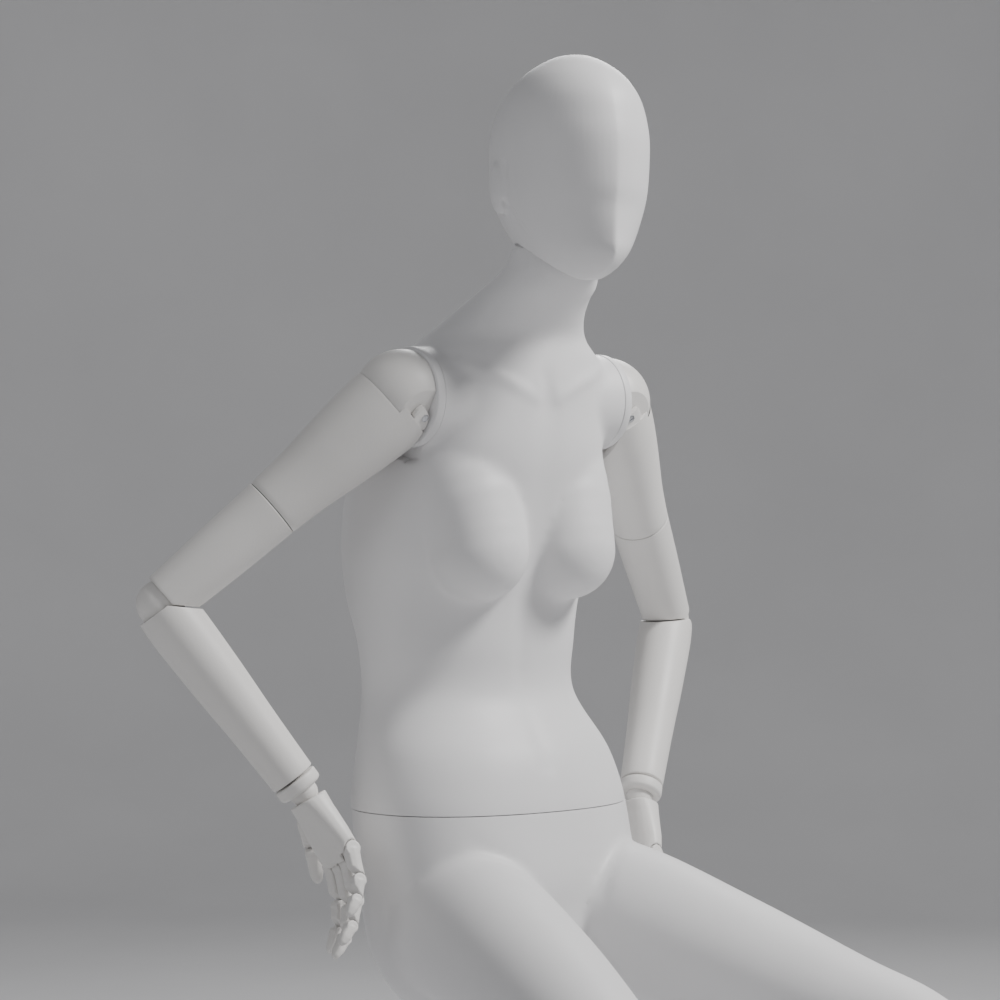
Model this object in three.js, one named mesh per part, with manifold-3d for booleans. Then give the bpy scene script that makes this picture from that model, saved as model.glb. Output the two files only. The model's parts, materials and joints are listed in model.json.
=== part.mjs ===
// A seated, articulated display mannequin: hollow body shells that part at the waist, a turning
// egg-shaped head, and jointed wooden arms with shoulder, elbow, wrist and finger hinges.
// Millimetres, +Z up. The figure faces -Y, its left hand is on +X, and it sits on the plane z = 0.
import * as THREE from 'three';
import { mergeVertices } from 'three/addons/utils/BufferGeometryUtils.js';
import Module from 'manifold-3d';

const wasm = await Module();
wasm.setup();

// ---- driving dimensions ----
const GAP = 0.35; // running clearance between neighbouring parts
const WALL = 5; // moulded shell thickness
const WAIST_Z = 196; // height of the waist seam
const WAIST_Y = 16; // the waist turns on a stud here
const NECK = { y: -86, top: 744, r: 43 }; // round neck end, upright
const HEAD_YAW = THREE.MathUtils.degToRad(-13); // the face looks a little to its own right
const SHOULDER = new THREE.Vector3(-133, -10, 600); // centre of the right shoulder dome
const PLATE = { inner: 116, outer: 126, r: 49 }; // round shoulder plates, distances from x = 0
const DOME_R = 46;
const PIN = { r: 4, half: 43.5, flat: 37 }; // pin radius, half length, dome flats
const ARM = { top: 44, seam: 31, end: 26, seamAt: 165, cutAt: 9, cheek: 13, clear: 2.2,
  lifts: [0, 15, 30, 45] };
const ELBOW = { ball: 23.5, pin: 3.5, tongue: 9, eye: 11, rim: 8, seat: 5 };
const FOREARM = { top: 29, wrist: 22.5 };
const WRIST = { collar: 15, gap: 2, ball: 14 };
const RING = 28; // points round the body rings
const INNER_RING = 16; // points round the hollows
const FAIR = 0.2; // surface detail finer than this is merged away
const SHELL_FAIR = 0.7; // the same for the big shells

// Right arm as it stands; the left arm is built on the right side too, and mirrored.
const POSES = {
  right: { elbow: [-332, 108, 401], wrist: [-219, 32, 220], palm: [0.37, -0.34, -0.86] },
  left: { elbow: [-317, 92, 370], wrist: [-202, 13, 188], palm: [0.36, -0.34, -0.86] },
};

const SHELL_WHITE = { color: 0xe9e8ea, roughness: 0.55, metalness: 0 };
const WOOD_WHITE = { color: 0xe4e0dc, roughness: 0.5, metalness: 0 };
const RAW_WOOD = { color: 0x8a6248, roughness: 0.7, metalness: 0 };
const STEEL = { color: 0xa9acb0, roughness: 0.35, metalness: 1 };

// ---- small geometry helpers ----
const vec = (x, y, z) => new THREE.Vector3(x, y, z);

function solid(geometry) {
  const g = geometry.clone();
  g.deleteAttribute('normal');
  g.deleteAttribute('uv');
  const m = mergeVertices(g, 1e-4);
  return new wasm.Manifold(new wasm.Mesh({
    numProp: 3,
    vertProperties: Float32Array.from(m.attributes.position.array),
    triVerts: Uint32Array.from(m.index.array),
  }));
}

function geometryOf(body) {
  const mesh = body.getMesh();
  const g = new THREE.BufferGeometry();
  g.setAttribute('position', new THREE.BufferAttribute(Float32Array.from(mesh.vertProperties), 3));
  g.setIndex(new THREE.BufferAttribute(Uint32Array.from(mesh.triVerts), 1));
  g.computeVertexNormals();
  return g;
}

// Axes with Z along `along` and X as close to `side` as it can be, placed at `at`.
function axes(at, along, side) {
  const z = along.clone().normalize();
  const y = z.clone().cross(side).normalize();
  return new THREE.Matrix4().makeBasis(y.clone().cross(z), y, z).setPosition(at);
}

// Smooth rows through the given rows of numbers (Catmull-Rom), `per` steps to each gap.
function smoothRows(rows, per) {
  const out = [];
  const pick = (i) => rows[Math.min(Math.max(i, 0), rows.length - 1)];
  for (let i = 0; i < rows.length - 1; i++) {
    for (let k = 0; k < per; k++) {
      const t = k / per;
      out.push(rows[i].map((p1, c) => {
        const [p0, p2, p3] = [pick(i - 1)[c], pick(i + 1)[c], pick(i + 2)[c]];
        return 0.5 * (2 * p1 + (p2 - p0) * t + (2 * p0 - 5 * p1 + 4 * p2 - p3) * t * t
          + (3 * p1 - p0 - 3 * p2 + p3) * t * t * t);
      }));
    }
  }
  out.push(rows[rows.length - 1]);
  return out;
}

// A rounded oval: half widths a and b, power 2 is an ellipse and a higher power is squarer.
function oval(a, b, power = 2, count = RING) {
  return Array.from({ length: count }, (_, i) => {
    const t = (2 * Math.PI * i) / count;
    const bend = (v) => Math.sign(v) * Math.abs(v) ** (2 / power);
    return [a * bend(Math.cos(t)), b * bend(Math.sin(t))];
  });
}

// A closed skin over rings of equal point count, with a fan over each end.
function skin(rings) {
  const n = rings[0].length;
  const mid = (ring) => ring.reduce((s, p) => s.add(p), vec(0, 0, 0)).divideScalar(n);
  const points = [...rings.flat(), mid(rings[0]), mid(rings[rings.length - 1])];
  const index = [];
  for (let r = 0; r < rings.length - 1; r++) {
    for (let i = 0; i < n; i++) {
      const [a, b] = [r * n + i, r * n + ((i + 1) % n)];
      index.push(a, b, b + n, a, b + n, a + n);
    }
  }
  const last = (rings.length - 1) * n;
  for (let i = 0; i < n; i++) {
    index.push(points.length - 2, (i + 1) % n, i, points.length - 1, last + i, last + ((i + 1) % n));
  }
  const g = new THREE.BufferGeometry().setFromPoints(points);
  g.setIndex(index);
  return solid(g);
}

// Level rings: each row is [z, centre y, half width, half depth, power].
function levelSkin(rows, inset = 0, count = RING) {
  return skin(rows.map(([z, y, a, b, power]) => oval(a - inset, b - inset, power, count)
    .map(([u, v]) => vec(u, y + v, z))));
}

// Turned profile [radius, height] points, closed on the axis, carried into place.
function turned(profile, place, segments = 24) {
  const points = profile.map(([r, h]) => new THREE.Vector2(r, h));
  const g = new THREE.LatheGeometry(points, segments).rotateX(Math.PI / 2);
  return solid(g.applyMatrix4(place));
}

const rod = (from, to, r0, r1 = r0, segments = 24) => turned(
  [[0, 0], [r0, 0], [r1, from.distanceTo(to)], [0, from.distanceTo(to)]],
  axes(from, to.clone().sub(from),
    Math.abs(to.x - from.x) > 0.9 * from.distanceTo(to) ? vec(0, 1, 0) : vec(1, 0, 0)),
  segments,
);
const ball = (at, r, detail = 16) =>
  solid(new THREE.SphereGeometry(r, detail, detail / 2).translate(at.x, at.y, at.z));
const box = (size, place) => solid(new THREE.BoxGeometry(...size).applyMatrix4(place));
// Everything on the far side of the plane through `at`, along `normal`.
const beyond = (at, normal) => box([3000, 3000, 3000],
  axes(at.clone().addScaledVector(normal, 1500), normal, vec(0.6, 0.8, 0.01)));

function part(name, body, finish, hinge, fair = FAIR) {
  const mesh = new THREE.Mesh(geometryOf(body.simplify(fair)), new THREE.MeshStandardMaterial(finish));
  mesh.name = name;
  if (hinge) mesh.userData.hinge = { at: hinge.at.toArray(), axis: hinge.axis.toArray() };
  return mesh;
}

// ---- body shells ----
const PELVIS = [
  [0, 2, 96, 70, 2.3], [26, 2, 122, 88, 2.3], [62, 0, 141, 98, 2.3], [100, 1, 148, 102, 2.3],
  [140, 5, 150, 108, 2.3], [WAIST_Z - GAP, WAIST_Y, 150, 104, 2.3],
];
const LEG = [ // centre x, y, z, radius across, radius fore and aft: hip to ankle
  [76, 10, 86, 66, 70], [90, -70, 85, 70, 76], [122, -200, 50, 66, 68], [156, -320, 14, 57, 57],
  [178, -400, -10, 50, 50], [186, -440, -46, 48, 49], [187, -447, -106, 46, 52],
  [187, -437, -186, 43, 54], [187, -440, -290, 33, 38], [187, -446, -380, 25, 30],
];
const TORSO = [
  [WAIST_Z + GAP, WAIST_Y, 150, 104, 2.3], [253, 27, 138, 96, 2.2], [307, 50, 116, 84, 2.2],
  [358, 53, 119, 88, 2.2], [402, 58, 125, 98, 2.2], [454, 53, 133, 107, 2.2],
  [520, 40, 131, 110, 2.3], [550, 24, 123, 98, 2.4], [580, 12, 119, 86, 2.5],
  [615, 2, 119, 76, 2.4], [642, -2, 112, 70, 2.2],
  [661, -8, 92, 66, 2], [684, -28, 70, 64, 2], [708, -58, 55, 58, 2], [726, -78, 46, 49, 2],
  [NECK.top, NECK.y, NECK.r, NECK.r, 2],
];

function legTube(inset, per, rows, count) {
  const path = new THREE.CatmullRomCurve3(LEG.map(([x, y, z]) => vec(x, y, z)));
  const sizes = smoothRows(LEG, per);
  const steps = sizes.length - 1;
  return skin(sizes.slice(0, rows).map(([, , , a, b], i) => {
    const t = i / steps;
    const m = axes(path.getPoint(t), path.getTangent(t), vec(1, 0, 0));
    return oval(a - inset, b - inset, 2, count).map(([u, v]) => vec(u, v, 0).applyMatrix4(m));
  }));
}

// A raised-heel foot: rings walk from the ankle down the instep to the toes.
function foot() {
  const rows = smoothRows([
    [-447, -372, 25, 30, Math.PI], [-452, -410, 28, 38, 2.8], [-478, -442, 31, 34, 2.3],
    [-520, -468, 36, 22, 2], [-566, -483, 37, 14, 1.75], [-598, -488, 27, 10, Math.PI / 2],
    [-610, -489, 10, 6, Math.PI / 2],
  ], 1);
  const x = LEG[LEG.length - 1][0];
  return skin(rows.map(([y, z, a, b, lean]) => oval(a, b, 2.2, 18).map(([u, v]) => (
    vec(x + u, y + v * Math.cos(lean), z + v * Math.sin(lean))))))
    .subtract(box([200, 400, 60], new THREE.Matrix4().setPosition(x, -520, -530)));
}

const mirrored = (body) => body.mirror([1, 0, 0]);

function lowerBodyShell() {
  const leg = legTube(0, 1, undefined, 24).add(foot());
  const hollow = legTube(WALL + 1, 1, LEG.length - 2, INNER_RING);
  const outside = levelSkin(PELVIS).add(leg).add(mirrored(leg));
  const cavity = levelSkin([[9, 2, 108, 76, 2.3], ...PELVIS.slice(2, -1),
    [WAIST_Z + 9, WAIST_Y, 150, 104, 2.3]],
    WALL, INNER_RING);
  return outside.subtract(cavity.add(hollow).add(mirrored(hollow)));
}

function breast(side) {
  return solid(new THREE.SphereGeometry(51, 18, 10).scale(1, 0.98, 1.02).translate(side * 57, -34, 452));
}

function shoulderBoss(side) {
  const at = (x) => vec(side * x, SHOULDER.y, SHOULDER.z);
  return rod(at(50), at(PLATE.inner + 20), 52, PLATE.r - 0.5, 28);
}

function torsoShell() {
  // The sides are cut flat where the shoulder plates lie.
  const flat = (side) => box([200, 600, 2 * PLATE.r + 100],
    new THREE.Matrix4().setPosition(side * (PLATE.inner + 100), 0, SHOULDER.z + 47));
  const outside = levelSkin(TORSO).add(shoulderBoss(1)).add(shoulderBoss(-1))
    .add(breast(1)).add(breast(-1)).subtract(flat(1)).subtract(flat(-1));
  const cavity = levelSkin([[WAIST_Z - 9, WAIST_Y, 150, 104, 2.3],
    ...TORSO.slice(1, -1).map(([z, y, a, b, n]) => [z, y, Math.min(a, 112), b, n]),
    [NECK.top + 9, NECK.y, NECK.r, NECK.r, 2]], WALL + 2, INNER_RING);
  return outside.subtract(cavity);
}

// ---- head ----
const HEAD_Y = -104; // centre of the head over the hips
const HEAD_ROWS = [ // z, forward shift of the ring, half width, half depth
  [711, 36, 9, 14], [716, 28, 21, 34], [725, 18, 35, 50], [737, 4, 50, 66], [752, 2, 59, 73],
  [777, 3, 67, 81],
  [800, 0, 72, 90], [838, 0, 73.5, 94], [862, 1, 71, 91], [886, 3, 63, 82], [906, 5, 50, 64],
  [920, 6, 33, 43], [928, 7, 17, 22], [930.5, 7, 5, 7],
];

function headSkin(inset, per, count) {
  return skin(smoothRows(HEAD_ROWS, per).map(([z, ahead, a, b]) => oval(a - inset, b - inset, 2, count)
    .map(([u, v]) => {
      const ridge = v < 0 ? 1 + 0.05 * (1 - Math.abs(u) / a) : 1; // the face comes to a soft ridge
      return vec(u, v * ridge - ahead, z + (inset * (822 - z)) / 110);
    })));
}

function ear(side) {
  return solid(new THREE.SphereGeometry(1, 14, 10).scale(7, 16, 27).rotateX(-0.15)
    .translate(side * 69, 8, 800));
}

function headShell() {
  const place = new THREE.Matrix4().makeRotationZ(HEAD_YAW).setPosition(0, HEAD_Y, 0);
  const neckHole = rod(vec(0, NECK.y, 690), vec(0, NECK.y, NECK.top + 4), NECK.r + 4, NECK.r + 4, 30);
  const egg = headSkin(0, 1, RING).add(ear(1)).add(ear(-1)).subtract(headSkin(WALL, 1, INNER_RING));
  return egg.transform(place.toArray()).subtract(neckHole);
}

// ---- fittings between the shells ----
const disc = (z0, z1, r, x = 0, y = WAIST_Y) => rod(vec(x, y, z0), vec(x, y, z1), r, r, 24);

function waistPlate(z0, z1) {
  return levelSkin([[z0, WAIST_Y, 122, 78, 2.3], [z1, WAIST_Y, 122, 78, 2.3]])
    .subtract(disc(150, 240, 14 + GAP));
}

function waistStud() {
  return disc(WAIST_Z - 16, WAIST_Z + 20, 14).add(disc(WAIST_Z + 20, WAIST_Z + 26, 22))
    .add(disc(WAIST_Z - 22, WAIST_Z - 16, 22));
}

function neckPeg() {
  return disc(NECK.top - 14, NECK.top - 2, NECK.r - 16, 0, NECK.y)
    .add(disc(NECK.top - 2, NECK.top + 40, 11, 0, NECK.y));
}

function headSocket() {
  return disc(NECK.top + 8, NECK.top + 34, 26, 0, NECK.y)
    .subtract(disc(NECK.top, NECK.top + 60, 11 + GAP, 0, NECK.y));
}

function shoulderPlate() {
  const at = (x) => vec(-x, SHOULDER.y, SHOULDER.z);
  return rod(at(PLATE.inner + GAP), at(PLATE.outer), PLATE.r, PLATE.r - 1, 36)
    .subtract(rod(at(100), at(140), 9 + GAP, 9 + GAP, 20));
}

// ---- arms (right side; the left is mirrored) ----
function shoulderDome(pin) {
  const at = (x) => vec(-x, SHOULDER.y, SHOULDER.z);
  const peg = rod(at(PLATE.outer - 9), at(PLATE.outer + 8), 9, 9, 20);
  const flat = (s) =>
    beyond(SHOULDER.clone().addScaledVector(pin, s * PIN.flat), pin.clone().multiplyScalar(s));
  return ball(SHOULDER, DOME_R, 22).subtract(beyond(at(PLATE.outer + GAP), vec(1, 0, 0))).add(peg)
    .subtract(flat(1)).subtract(flat(-1)).subtract(pinRod(pin, PIN.r + GAP, 60));
}

const pinRod = (pin, r, half) => rod(SHOULDER.clone().addScaledVector(pin, -half),
  SHOULDER.clone().addScaledVector(pin, half), r, r, 16);

// The sleeve ends in two cheeks that hold the pin, and its rim is cut to lie along the shoulder plate.
function upperArmTop(along, pin) {
  const at = (s) => SHOULDER.clone().addScaledVector(along, s);
  const slab = box([2 * (PIN.flat + GAP), 300, 300], axes(SHOULDER, along, pin));
  const socket = ball(SHOULDER, DOME_R + GAP + 0.8, 22).intersect(slab);
  const tube = turned([[0, -40], [ARM.top, -40], [ARM.top, 12], [ARM.top - 2.5, 55], [ARM.seam + 3, 120],
    [ARM.seam, ARM.seamAt - GAP], [0, ARM.seamAt - GAP]], axes(SHOULDER, along, vec(0, 1, 0)), 24);
  const cut = beyond(at(ARM.cutAt), along.clone().negate());
  const cheeks = pinRod(pin, ARM.cheek, ARM.top - 1).intersect(tube);
  let sleeve = tube.subtract(cut).add(cheeks).subtract(socket).subtract(pinRod(pin, PIN.r + GAP, 60))
    .subtract(dowel(along, GAP));
  for (const lift of ARM.lifts) { // the rim clears the plate at every angle the arm is raised to
    const plate = vec(1, 0, 0).applyAxisAngle(pin, THREE.MathUtils.degToRad(lift));
    const rim = -SHOULDER.x - PLATE.outer - ARM.clear;
    sleeve = sleeve.subtract(beyond(SHOULDER.clone().addScaledVector(plate, rim), plate));
  }
  return sleeve;
}

function upperArmBottom(along, elbow, mitre, hinge) {
  const at = (s) => SHOULDER.clone().addScaledVector(along, s);
  const length = SHOULDER.distanceTo(elbow);
  return rod(at(ARM.seamAt), at(length - ELBOW.rim), ARM.seam - 0.2, ARM.end, 24)
    .subtract(ball(elbow, ELBOW.ball + 3 * GAP))
    .subtract(beyond(elbow.clone().addScaledVector(mitre, -0.8), mitre))
    .subtract(tongueBar(along, elbow, hinge, GAP)).subtract(dowel(along, GAP));
}

// The dowel that the lower half of the upper arm turns on.
function dowel(along, slack) {
  const at = (s) => SHOULDER.clone().addScaledVector(along, s);
  return rod(at(ARM.seamAt - 28 - slack), at(ARM.seamAt + 28 + slack), 10 + slack, 10 + slack, 16);
}

function tongueBar(along, elbow, hinge, slack) {
  const size = [ELBOW.tongue + 2 * slack, 2 * (ELBOW.eye - 1 + slack), 44 + slack];
  return box(size, axes(elbow.clone().addScaledVector(along, -size[2] / 2), along, hinge));
}

function elbowTongue(along, elbow, hinge) {
  const side = (s) => elbow.clone().addScaledVector(hinge, s);
  return tongueBar(along, elbow, hinge, 0)
    .add(rod(side(-ELBOW.tongue / 2), side(ELBOW.tongue / 2), ELBOW.eye, ELBOW.eye, 20))
    .subtract(rod(side(-20), side(20), ELBOW.pin + GAP, ELBOW.pin + GAP, 12));
}

function elbowBall(fore, elbow, hinge) {
  const side = (s) => elbow.clone().addScaledVector(hinge, s);
  const slot = box([ELBOW.tongue + 2 * GAP, 60, 60],
    axes(elbow.clone().addScaledVector(fore, ELBOW.eye + 0.6 - 30), fore, hinge));
  return ball(elbow, ELBOW.ball).subtract(slot)
    .subtract(rod(side(-40), side(40), ELBOW.pin + GAP, ELBOW.pin + GAP, 12));
}

function forearm(fore, elbow, wrist, mitre) {
  const length = elbow.distanceTo(wrist);
  const end = length - WRIST.collar - WRIST.gap;
  return turned([[0, ELBOW.seat], [FOREARM.top - 1, ELBOW.seat], [FOREARM.top, 32],
    [FOREARM.wrist + 3, 0.62 * length],
    [FOREARM.wrist, end], [0, end]], axes(elbow, fore, vec(0, 0, 1)), 24)
    .subtract(ball(elbow, ELBOW.ball + GAP))
    .subtract(beyond(elbow.clone().addScaledVector(mitre, 0.8), mitre.clone().negate()));
}

// The wrist collar turns on the forearm and carries the ball that the palm bends on.
function wristBall(fore, wrist) {
  const r = FOREARM.wrist;
  return turned([[0, -WRIST.collar], [r - 0.6, -WRIST.collar], [r, -WRIST.collar + 1],
    [r, -5], [r - 2, -WRIST.gap],
    [0, -WRIST.gap]], axes(wrist, fore, vec(0, 1, 0)), 20).add(ball(wrist, WRIST.ball, 16));
}

// ---- hands: frames have x toward the thumb, y out of the back of the hand, z along the fingers ----
const FINGERS = [ // name, [x, z] of the knuckle, splay, flexion and length of each phalanx, width
  { name: 'index', at: [24, 76], splay: 12, flex: [16, 20, 16], length: [40, 25, 21], wide: 15 },
  { name: 'middle', at: [8, 80], splay: 6, flex: [20, 24, 18], length: [43, 28, 22], wide: 15.4 },
  { name: 'ring', at: [-8.2, 77], splay: 1, flex: [22, 24, 18], length: [40, 26, 21], wide: 15 },
  { name: 'little', at: [-23.6, 69], splay: -4, flex: [22, 22, 16], length: [31, 20, 18], wide: 13.6 },
];
const THUMB = { name: 'thumb', at: [27, 28], splay: 30, roll: -45, flex: [2, 14], length: [34, 29],
  wide: 16, room: 18 };
const BARRELS = [8, 7, 6.2]; // hinge barrel radius at each phalanx base
const deg = THREE.MathUtils.degToRad;

function fingerFrames(finger) {
  const [x, z] = finger.at;
  let frame = new THREE.Matrix4().makeTranslation(x, 0, z)
    .multiply(new THREE.Matrix4().makeRotationY(deg(finger.splay)))
    .multiply(new THREE.Matrix4().makeRotationZ(deg(finger.roll ?? 0)));
  return finger.flex.map((angle, i) => {
    frame = frame.clone().multiply(new THREE.Matrix4().makeRotationX(deg(angle)));
    const here = frame;
    frame = frame.clone().multiply(new THREE.Matrix4().makeTranslation(0, 0, finger.length[i]));
    return here;
  });
}

const barrel = (r, wide, z = 0) =>
  solid(new THREE.CylinderGeometry(r, r, wide, 12).rotateZ(Math.PI / 2).translate(0, 0, z));

// One phalanx: a barrel at its own hinge, a hollow and a palm-side V cut for the next barrel.
function phalanx(finger, i) {
  const [length, wide, r] = [finger.length[i], finger.wide - 1.2 * i, BARRELS[i]];
  const isTip = i === finger.length.length - 1;
  const next = BARRELS[i + 1] ?? r - 1;
  const rings = isTip
    ? [[0, wide / 2, r - 0.15], [length - 9, wide / 2 - 0.6, r - 0.8], [length - 3, wide / 2 - 2.4, r - 2.4],
      [length, wide / 2 - 5, r - 4.6]]
    : [[0, wide / 2, r - 0.15], [length / 2, wide / 2 - 0.5, next + 0.2],
      [length - 1, wide / 2 - 0.5, next + 0.7]];
  let body = skin(rings.map(([z, a, b]) => oval(a, b, 3, 10).map(([u, v]) => vec(u, v, z))))
    .add(barrel(r, wide - 1.6));
  if (!isTip) {
    body = body.subtract(barrel(next + GAP + 0.1, 40, length))
      .subtract(beyond(vec(0, -next * 0.45, length - next * 0.8), vec(0, -0.72, 0.69)));
  }
  return body;
}

function palm() {
  const rows = smoothRows([[8, 20, 17], [22, 23.5, 15], [48, 29.5, 13.5], [68, 31.5, 12], [80, 30, 10.5]], 1);
  let body = skin(rows.map(([z, a, b]) => oval(a, b, 2.6, 20).map(([u, v]) => vec(u, v, z))))
    .subtract(ball(vec(0, 0, 0), WRIST.ball + GAP + 0.4, 16));
  for (const finger of [...FINGERS, THUMB]) {
    const place = fingerFrames({ ...finger, flex: [0], length: [1] })[0];
    const room = box([finger.wide + 1.4, finger.room ?? 40, 40], new THREE.Matrix4().setPosition(0, 0, 19));
    const hollow = barrel(BARRELS[0] + GAP + 0.1, finger.wide + 1.4);
    body = body.subtract(room.add(hollow).transform(place.toArray()));
  }
  const cut = body.subtract(beyond(vec(0, -10, 70), vec(0, -0.85, 0.53)));
  return cut.decompose().sort((a, b) => b.volume() - a.volume())[0]; // drop the offcuts between fingers
}

// ---- one arm, built on the right ----
function arm(side, pose) {
  const group = new THREE.Group();
  const [elbow, wrist] = [vec(...pose.elbow), vec(...pose.wrist)];
  const along = elbow.clone().sub(SHOULDER).normalize();
  const fore = wrist.clone().sub(elbow).normalize();
  const mitre = fore.clone().add(along).normalize();
  const bend = fore.clone().cross(along).normalize();
  const pin = along.clone().cross(vec(1, 0, 0)).normalize(); // square to the arm and to the plate
  const at = (point, axis) => ({ at: point, axis });
  const add = (name, body, finish, hinge) => group.add(part(`${side}_${name}`, body, finish, hinge));

  add('shoulder_plate', shoulderPlate(), SHELL_WHITE);
  add('shoulder_dome', shoulderDome(pin), WOOD_WHITE, at(SHOULDER, vec(1, 0, 0)));
  add('upper_arm_top', upperArmTop(along, pin), WOOD_WHITE, at(SHOULDER, pin));
  add('shoulder_pin', pinRod(pin, PIN.r, PIN.half), STEEL);
  add('upper_arm_dowel', dowel(along, 0), RAW_WOOD);
  add('upper_arm_bottom', upperArmBottom(along, elbow, mitre, bend), WOOD_WHITE, at(SHOULDER, along));
  add('elbow_tongue', elbowTongue(along, elbow, bend), RAW_WOOD);
  add('elbow_ball', elbowBall(fore, elbow, bend), RAW_WOOD);
  const pinEnd = (s) => elbow.clone().addScaledVector(bend, s * (ELBOW.ball - 2));
  add('elbow_pin', rod(pinEnd(-1), pinEnd(1),
    ELBOW.pin, ELBOW.pin, 12), STEEL);
  add('forearm', forearm(fore, elbow, wrist, mitre), WOOD_WHITE, at(elbow, bend));
  add('wrist_ball', wristBall(fore, wrist), WOOD_WHITE, at(wrist, fore));

  const hand = axes(wrist, vec(...pose.palm), vec(0, 1, 0));
  const placed = (name, body, frame, finish) => {
    const place = hand.clone().multiply(frame);
    const axis = vec(1, 0, 0).transformDirection(place);
    add(name, body.transform(place.toArray()), finish, at(vec(0, 0, 0).applyMatrix4(place), axis));
  };
  placed('palm', palm(), new THREE.Matrix4(), WOOD_WHITE);
  for (const finger of [...FINGERS, THUMB]) {
    fingerFrames(finger).forEach((frame, i) =>
      placed(`${finger.name}_${i + 1}`, phalanx(finger, i), frame, WOOD_WHITE));
  }
  return group;
}

// ---- the whole figure ----
const mannequin = new THREE.Group();
const upright = (z, y) => ({ at: vec(0, y, z), axis: vec(0, 0, 1) });
mannequin.add(
  part('lower_body_shell', lowerBodyShell(), SHELL_WHITE, null, SHELL_FAIR),
  part('waist_plate_lower', waistPlate(WAIST_Z - 14, WAIST_Z - 2), RAW_WOOD),
  part('waist_stud', waistStud(), STEEL),
  part('waist_plate_upper', waistPlate(WAIST_Z + 3, WAIST_Z + 17), RAW_WOOD),
  part('torso_shell', torsoShell(), SHELL_WHITE, upright(WAIST_Z, WAIST_Y), SHELL_FAIR),
  part('neck_peg', neckPeg(), STEEL),
  part('head_socket', headSocket(), RAW_WOOD),
  part('head_shell', headShell(), SHELL_WHITE, upright(NECK.top, NECK.y), SHELL_FAIR),
  arm('right', POSES.right),
);
const leftArm = arm('left', POSES.left);
leftArm.scale.x = -1;
mannequin.add(leftArm);

export default mannequin;
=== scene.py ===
# %% [markdown]
# # A seated, articulated display mannequin
# A display mannequin of this kind is made of two things: hollow moulded body shells with a satin
# white paint, and turned wooden arms that bend at real joints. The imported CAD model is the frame
# of this lesson. It fixes every size and every joint, and each step below builds one smooth,
# finished piece around it.

# %% Load the frame and keep the size of the CAD model
import json
import math

import bmesh
import bpy
from mathutils import Matrix, Vector


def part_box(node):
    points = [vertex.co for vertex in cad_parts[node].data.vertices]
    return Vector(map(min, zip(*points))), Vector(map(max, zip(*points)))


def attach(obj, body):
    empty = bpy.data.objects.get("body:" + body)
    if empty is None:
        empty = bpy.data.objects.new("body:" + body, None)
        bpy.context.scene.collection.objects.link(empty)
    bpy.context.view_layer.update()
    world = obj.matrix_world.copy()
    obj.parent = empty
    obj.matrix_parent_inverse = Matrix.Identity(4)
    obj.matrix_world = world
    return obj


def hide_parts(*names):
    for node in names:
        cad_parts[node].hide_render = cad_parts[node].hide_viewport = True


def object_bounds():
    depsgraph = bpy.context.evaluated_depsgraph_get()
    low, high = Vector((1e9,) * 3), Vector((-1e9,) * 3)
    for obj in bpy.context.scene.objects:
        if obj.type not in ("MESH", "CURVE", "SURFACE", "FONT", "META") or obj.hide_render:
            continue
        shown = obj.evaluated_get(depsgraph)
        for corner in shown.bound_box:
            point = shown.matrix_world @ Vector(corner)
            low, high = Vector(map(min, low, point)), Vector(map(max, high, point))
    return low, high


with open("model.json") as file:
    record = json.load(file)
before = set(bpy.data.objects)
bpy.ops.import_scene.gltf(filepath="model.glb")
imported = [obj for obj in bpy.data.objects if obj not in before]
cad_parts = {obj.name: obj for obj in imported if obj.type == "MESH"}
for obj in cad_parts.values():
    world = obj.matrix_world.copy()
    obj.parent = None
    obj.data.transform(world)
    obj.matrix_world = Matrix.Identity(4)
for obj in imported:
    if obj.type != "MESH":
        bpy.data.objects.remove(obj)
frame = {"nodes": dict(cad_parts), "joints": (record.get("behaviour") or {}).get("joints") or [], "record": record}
cad_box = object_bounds()
joints = {joint["name"]: joint for joint in frame["joints"]}
MM = 0.001

# %% [markdown]
# ## Finishes
# Satin paint is never one flat value. It has a very fine orange-peel skin, slow changes of gloss
# where hands have polished it, and a hint of warmth or coolness from place to place. All of it
# can come from noise read in the object's own coordinates, so that the pattern stays put when a
# limb moves. One function makes both paints, because only their tint, gloss and grain differ.

# %% Node helpers
def new_finish(name):
    """A material, its node tree and its shader."""
    material = bpy.data.materials.new(name)
    material.use_nodes = True
    tree = material.node_tree
    return material, tree, tree.nodes["Principled BSDF"]


def noise_on(tree, place, scale, detail=3.0, rough=0.5):
    noise = tree.nodes.new("ShaderNodeTexNoise")
    noise.inputs["Scale"].default_value = scale
    noise.inputs["Detail"].default_value = detail
    noise.inputs["Roughness"].default_value = rough
    tree.links.new(place, noise.inputs["Vector"])
    return noise.outputs["Fac"]


def ramp_on(tree, value, stops):
    ramp = tree.nodes.new("ShaderNodeValToRGB")
    first, last = ramp.color_ramp.elements
    (first.position, first.color), (last.position, last.color) = stops[0], stops[-1]
    for position, color in stops[1:-1]:
        ramp.color_ramp.elements.new(position).color = color
    tree.links.new(value, ramp.inputs["Fac"])
    return ramp.outputs["Color"]


def range_on(tree, value, low, high):
    spread = tree.nodes.new("ShaderNodeMapRange")
    spread.inputs["From Min"].default_value = 0.3
    spread.inputs["From Max"].default_value = 0.7
    spread.inputs["To Min"].default_value = low
    spread.inputs["To Max"].default_value = high
    tree.links.new(value, spread.inputs["Value"])
    return spread.outputs["Result"]


def bump_on(tree, height, distance, strength, under=None):
    bump = tree.nodes.new("ShaderNodeBump")
    bump.inputs["Distance"].default_value = distance
    bump.inputs["Strength"].default_value = strength
    tree.links.new(height, bump.inputs["Height"])
    if under:
        tree.links.new(under, bump.inputs["Normal"])
    return bump.outputs["Normal"]


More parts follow.
